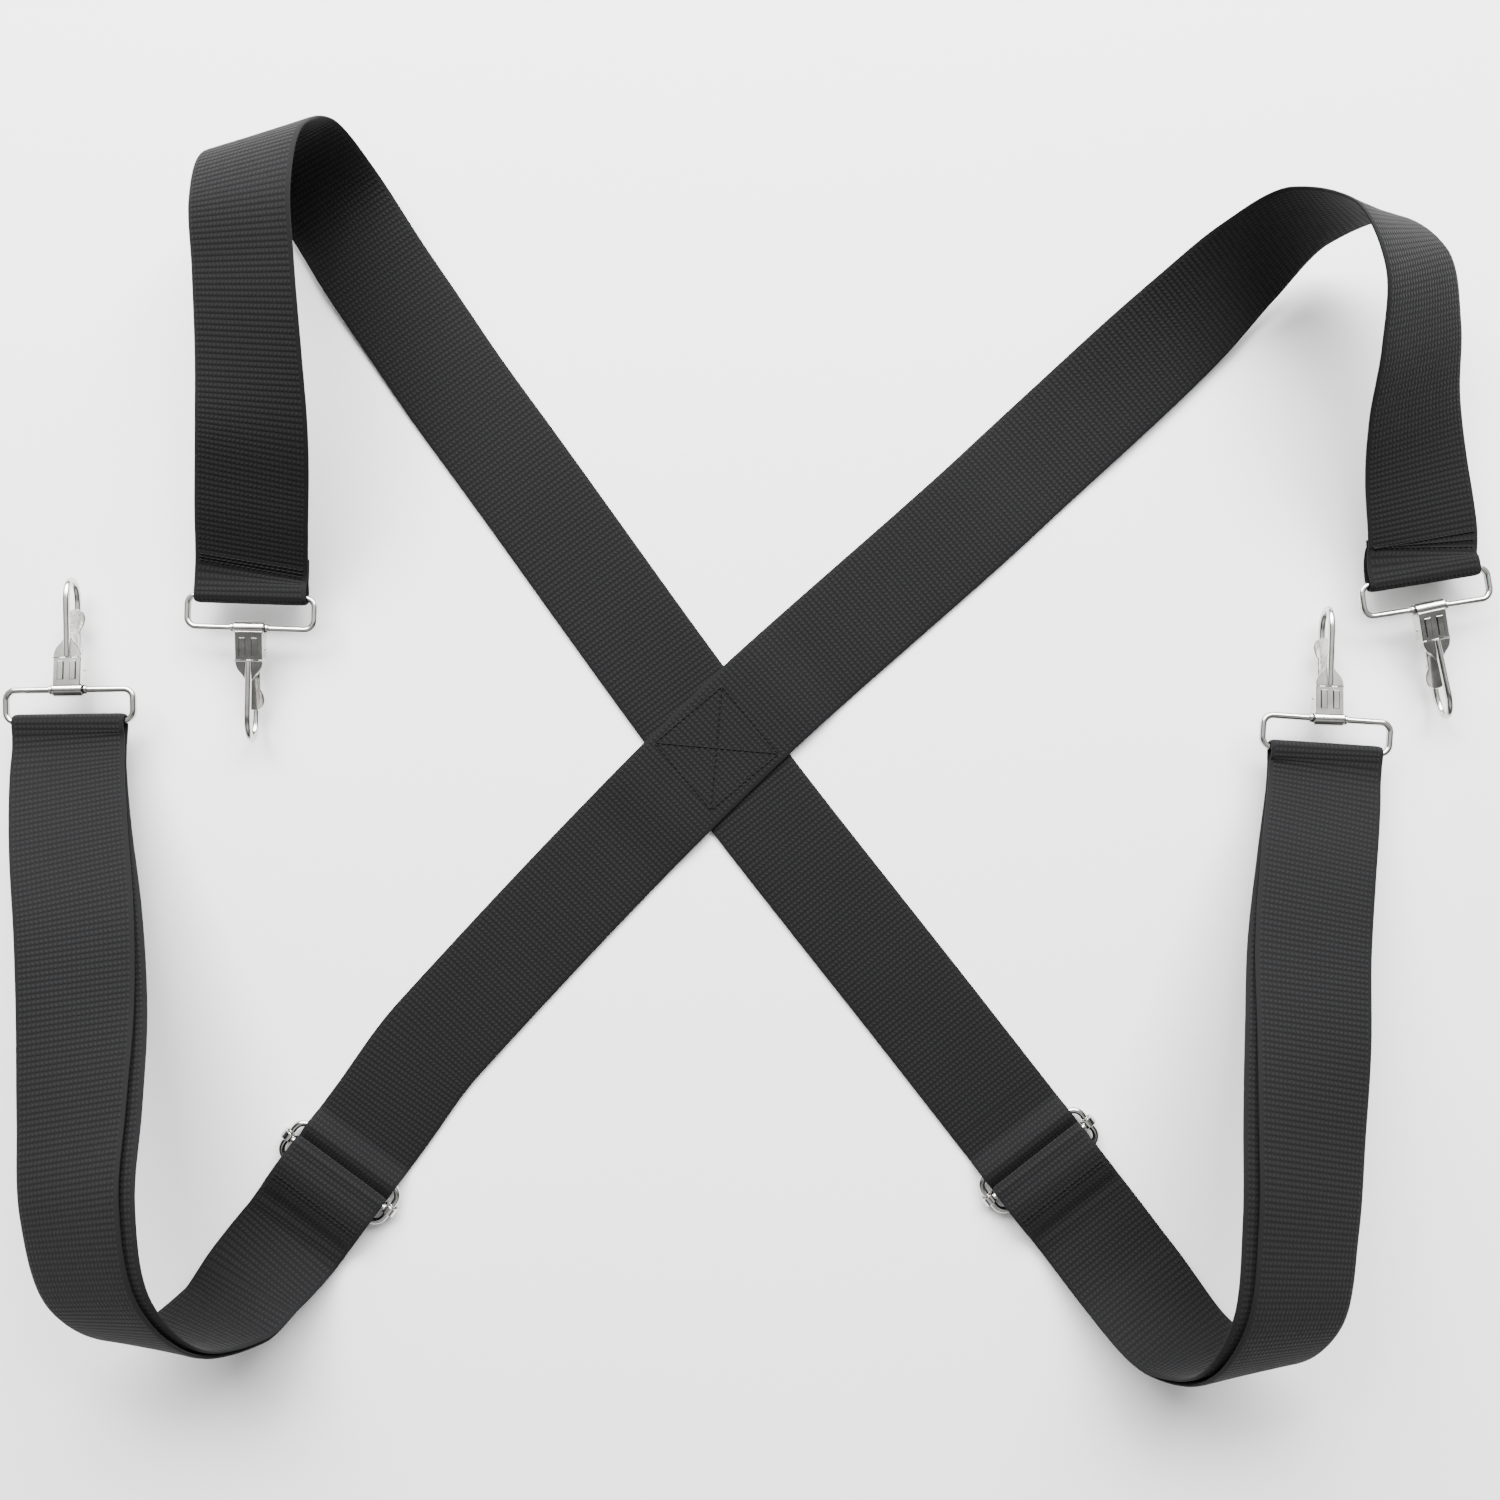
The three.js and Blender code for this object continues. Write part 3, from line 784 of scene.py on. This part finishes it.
def make_slider(side, slider):
    place = slider_matrix(slider)
    wire = Shape()
    wire.tube(rounded_rectangle(LOOP_HALF, FRAME_HALF, 5.2, FRAME_HEIGHT), WIRE, closed=True, sides=20)
    wire.place(place)
    obj = wire.make(f"{side}_slider_wire_frame", NICKEL)
    finish_piece(obj, f"{side}_slider", "nickel_plate", f"{side}_slider_frame")
    bar = Shape()
    inner = LOOP_HALF - 2.2
    bar.rod(WIRE, -inner, inner, 0, CENTRE_BAR_HEIGHT, sides=20)
    for s in (-1, 1):
        start = len(bar.points)
        bar.pipe(3.2, 2.05, -2, 2, 0, 0)
        eye_place = Matrix.Translation((s * LOOP_HALF, 0, FRAME_HEIGHT))
        bar.place(eye_place @ Matrix.Rotation(math.pi / 2, 4, "Z"), start)
    bar.place(place)
    obj = bar.make(f"{side}_slider_crimped_centre_bar", NICKEL)
    finish_piece(obj, f"{side}_slider", "nickel_plate", f"{side}_slider_centre_bar")


def shank_path():
    """Centre line of the hook's wire in its side view, from the shoulder round the bend to the tip."""
    front = 1.6
    middle = (front + RETURN_HEIGHT) / 2
    bend_start = 39.5
    points = [(0, 15 + i * 1.5, front) for i in range(17)]
    for i in range(25):
        a = math.pi / 2 - math.pi * i / 24
        y = bend_start + (REACH - bend_start) * math.cos(a)
        points.append((0, y, middle + (front - middle) * math.sin(a)))
    points += [(0, bend_start - i * 1.44, RETURN_HEIGHT) for i in range(1, 10)]
    return points


def shoulder_outline():
    points = [(-6.15, 1.5), (6.15, 1.5), (6.15, 15.6)]
    for i in range(1, 7):
        t = i / 6
        x = 6.15 * (1 - t) ** 2 + 2 * 5.8 * t * (1 - t) + 3.4 * t * t
        y = 15.6 * (1 - t) ** 2 + 2 * 18.6 * t * (1 - t) + 20.6 * t * t
        points.append((x, y))
    points += [(1.5, 23.4), (-1.5, 23.4)]
    return points + [(-x, y) for x, y in reversed(points[3:9])] + [(-6.15, 15.6)]


def hook_body_shape():
    shape = Shape()
    shape.pipe(3.1, 1.9, -6.75, 6.75, 0, 0)
    front = len(shape.points)
    shape.plate(shoulder_outline(), 1.9, 3.1)
    for x0, x1 in ((-4.3, -1.2), (1.2, 4.3)):
        shape.box(x0, x1, 4.2, 12.6, 2.5, 3.6, chamfer=0.5)
    shape.box(-6.15, 6.15, 14.0, 15.0, 2.5, 3.4, chamfer=0.35)
    slope = Matrix.Rotation(-PLATE_SLOPE, 4, "X")
    shape.place(Matrix.Translation((0, 1.5, 0)) @ slope @ Matrix.Translation((0, -1.5, 0)), front)
    shape.box(-5.6, -4.3, 1, 13.2, -5.2, 1.3)
    shape.box(4.3, 5.6, 1, 13.2, -5.2, 1.3)
    shape.tube(shank_path(), WIRE, sides=20)
    tip = []
    for i in range(9):
        a = math.pi * i / 8
        r = max(1.9 * math.sin(a), 0.05)
        ring = [2 * math.pi * k / 16 for k in range(16)]
        y = 26.5 - 1.9 * math.cos(a)
        tip.append([(r * math.cos(b), y, RETURN_HEIGHT + r * math.sin(b)) for b in ring])
    shape.skin(tip)
    return shape


def gate_outline():
    points = [(-3.9, 11.6), (3.9, 11.6), (3.3, 19), (2.7, 27)]
    for i in range(1, 5):
        t = i / 4
        x = 2.7 * (1 - t) ** 2 + 2 * 4.6 * t * (1 - t) + 4.6 * t * t
        y = 27 * (1 - t) ** 2 + 2 * 29.5 * t * (1 - t) + 32.5 * t * t
        points.append((x, y))
    for i in range(1, 18):
        a = math.pi * i / 18
        points.append((4.6 * math.cos(a), 32.5 + 4.6 * math.sin(a)))
    left = [(-x, y) for x, y in reversed(points[2:8])]
    return points + left


def gate_shape():
    shape = Shape()
    shape.plate([(x, y - PIN_ALONG) for x, y in gate_outline()], -0.9, 0.2)
    lean = Matrix.Rotation(-GATE_LEAN, 4, "X")
    shape.place(Matrix.Translation((0, PIN_ALONG, PIN_HEIGHT)) @ lean)
    rings = []
    for i in range(13):
        a = math.pi * i / 12
        r = max(math.sin(a), 0.02)
        ring = [2 * math.pi * k / 20 for k in range(20)]
        y = 17.5 - 4.5 * math.cos(a)
        rings.append([(3.6 * r * math.cos(b), y, -5.6 + 3.24 * r * math.sin(b)) for b in ring])
    shape.skin(rings)
    for x0, x1 in ((2.5, 3.9), (-3.9, -2.5)):
        shape.box(x0, x1, 7.2, 13.2, -4.9, -1.7)
    return shape


def spring_shape():
    shape = Shape()
    points = [(-1.7, 13.6, PIN_HEIGHT + 1.2)]
    for i in range(61):
        a = 2 * math.pi * i / 20 - math.pi / 2
        x = -1.7 + 3.4 * i / 60
        points.append((x, PIN_ALONG - 1.5 * math.cos(a), PIN_HEIGHT - 1.5 * math.sin(a)))
    points.append((1.7, 13.2, PIN_HEIGHT + 3.6))
    shape.tube(points, 0.3, sides=8)
    return shape


def make_hook(name, bar, loop_turn, hook_turn):
    turn = math.radians(loop_turn)
    x = bar[0] - BAR_SPACING * math.sin(turn)
    y = bar[1] + BAR_SPACING * math.cos(turn)
    origin = Vector((x, y, LOOP_HEIGHT))
    loop_place = Matrix.Translation(origin) @ Matrix.Rotation(turn, 4, "Z")
    hook_place = loop_place @ Matrix.Rotation(math.radians(hook_turn), 4, "Z")

    loop = Shape()
    wire = rounded_rectangle(LOOP_HALF, BAR_SPACING / 2, 4.2)
    loop.tube([(x, y - BAR_SPACING / 2, z) for x, y, z in wire], WIRE, closed=True, sides=20)
    loop.rod(2.3, 7.1, 8.5, 0, 0)
    loop.rod(2.3, -8.5, -7.1, 0, 0)
    pin = Shape()
    pin.rod(0.8, -6.1, 6.1, PIN_ALONG, PIN_HEIGHT, sides=20)
    pieces = [
        ("bent_wire_loop", loop, loop_place, "loop", NICKEL, "nickel_plate", "wire_loop"),
        ("pressed_body", hook_body_shape(), hook_place, "hook", NICKEL, "nickel_plate", "body"),
        ("gate_lever", gate_shape(), hook_place, "gate", NICKEL, "nickel_plate", "gate"),
        ("gate_rivet", pin, hook_place, "hook", NICKEL, "nickel_plate", "gate_pin"),
        ("gate_coil_spring", spring_shape(), hook_place, "hook", SPRING, "spring_steel", "gate_spring"),
    ]
    for label, shape, place, body, material, slot, node in pieces:
        shape.place(place)
        obj = shape.make(f"{name}_hook_{label}", material)
        finish_piece(obj, f"{name}_{body}", slot, f"{name}_hook_{node}")


make_slider("right", SLIDER_A)
make_slider("left", SLIDER_B)
make_hook("upper_left", UPPER_A[0], 178, 1)
make_hook("upper_right", UPPER_B[0], -171, 3)
make_hook("lower_left", LOWER_B[-1], 1, 0)
make_hook("lower_right", LOWER_A[-1], -4, 2)


# ---- table, light and camera ------------------------------------------------------------------


def make_table():
    mesh = bpy.data.meshes.new("table_top")
    half = 3.0
    z = -0.0006
    corners = [(-half, -half, z), (half, -half, z), (half, half, z), (-half, half, z)]
    mesh.from_pydata(corners, [], [(0, 1, 2, 3)])
    mesh.materials.append(table_material())
    obj = bpy.data.objects.new("table_top", mesh)
    bpy.context.scene.collection.objects.link(obj)


def make_lamp(name, location, size, power):
    light = bpy.data.lights.new(name, "AREA")
    light.shape = "RECTANGLE"
    light.size, light.size_y = size
    light.energy = power
    obj = bpy.data.objects.new(name, light)
    bpy.context.scene.collection.objects.link(obj)
    obj.location = location
    obj.rotation_euler = (-Vector(location)).to_track_quat("-Z", "Y").to_euler()


def make_world():
    """A studio room: bright overhead and behind, darker low down and on the near side."""
    world = bpy.data.worlds.new("studio")
    world.use_nodes = True
    tree = world.node_tree
    background = tree.nodes["Background"]
    split = tree.nodes.new("ShaderNodeSeparateXYZ")
    coord = tree.nodes.new("ShaderNodeTexCoord")
    tree.links.new(coord.outputs["Generated"], split.inputs[0])

    def level(output, gain, offset, stops):
        scaled = tree.nodes.new("ShaderNodeMath")
        scaled.operation = "MULTIPLY_ADD"
        scaled.inputs[1].default_value = gain
        scaled.inputs[2].default_value = offset
        tree.links.new(split.outputs[output], scaled.inputs[0])
        ramp = tree.nodes.new("ShaderNodeValToRGB")
        while len(ramp.color_ramp.elements) < len(stops):
            ramp.color_ramp.elements.new(0.5)
        for element, (position, grey) in zip(ramp.color_ramp.elements, stops):
            element.position = position
            element.color = (grey, grey, grey, 1)
        tree.links.new(scaled.outputs[0], ramp.inputs["Fac"])
        return ramp.outputs["Color"]

    height = level("Z", 1.0, 0.0, [(0.0, 0.06), (0.35, 0.03), (0.62, 0.25), (0.82, 1.0)])
    depth = level("Y", 0.5, 0.5, [(0.2, 0.5), (0.4, 0.06), (0.47, 0.08), (0.53, 0.6)])
    both = tree.nodes.new("ShaderNodeMix")
    both.data_type = "RGBA"
    both.blend_type = "MULTIPLY"
    both.inputs["Factor"].default_value = 1.0
    tree.links.new(height, both.inputs[6])
    tree.links.new(depth, both.inputs[7])
    horizon = level("Z", 1.0, 0.0, [(0.0, 0.6), (0.12, 0.5), (0.24, 0.06), (0.3, 0.0)])
    glow = tree.nodes.new("ShaderNodeMix")
    glow.data_type = "RGBA"
    glow.blend_type = "ADD"
    glow.inputs["Factor"].default_value = 1.0
    tree.links.new(both.outputs[2], glow.inputs[6])
    tree.links.new(horizon, glow.inputs[7])
    tree.links.new(glow.outputs[2], background.inputs["Color"])
    background.inputs["Strength"].default_value = 2.0
    bpy.context.scene.world = world


def make_camera():
    camera = bpy.data.cameras.new("camera")
    camera.lens = 34.0
    camera.sensor_width = 36.0
    obj = bpy.data.objects.new("camera", camera)
    bpy.context.scene.collection.objects.link(obj)
    obj.location = (0.0153, -0.0009, 0.65)
    bpy.context.scene.camera = obj


make_table()
make_lamp("key_light", (-0.7, 1.6, 1.5), (1.6, 1.2), 165)
make_lamp("fill_light", (0.7, 1.6, 1.5), (1.6, 1.2), 145)
make_world()
make_camera()
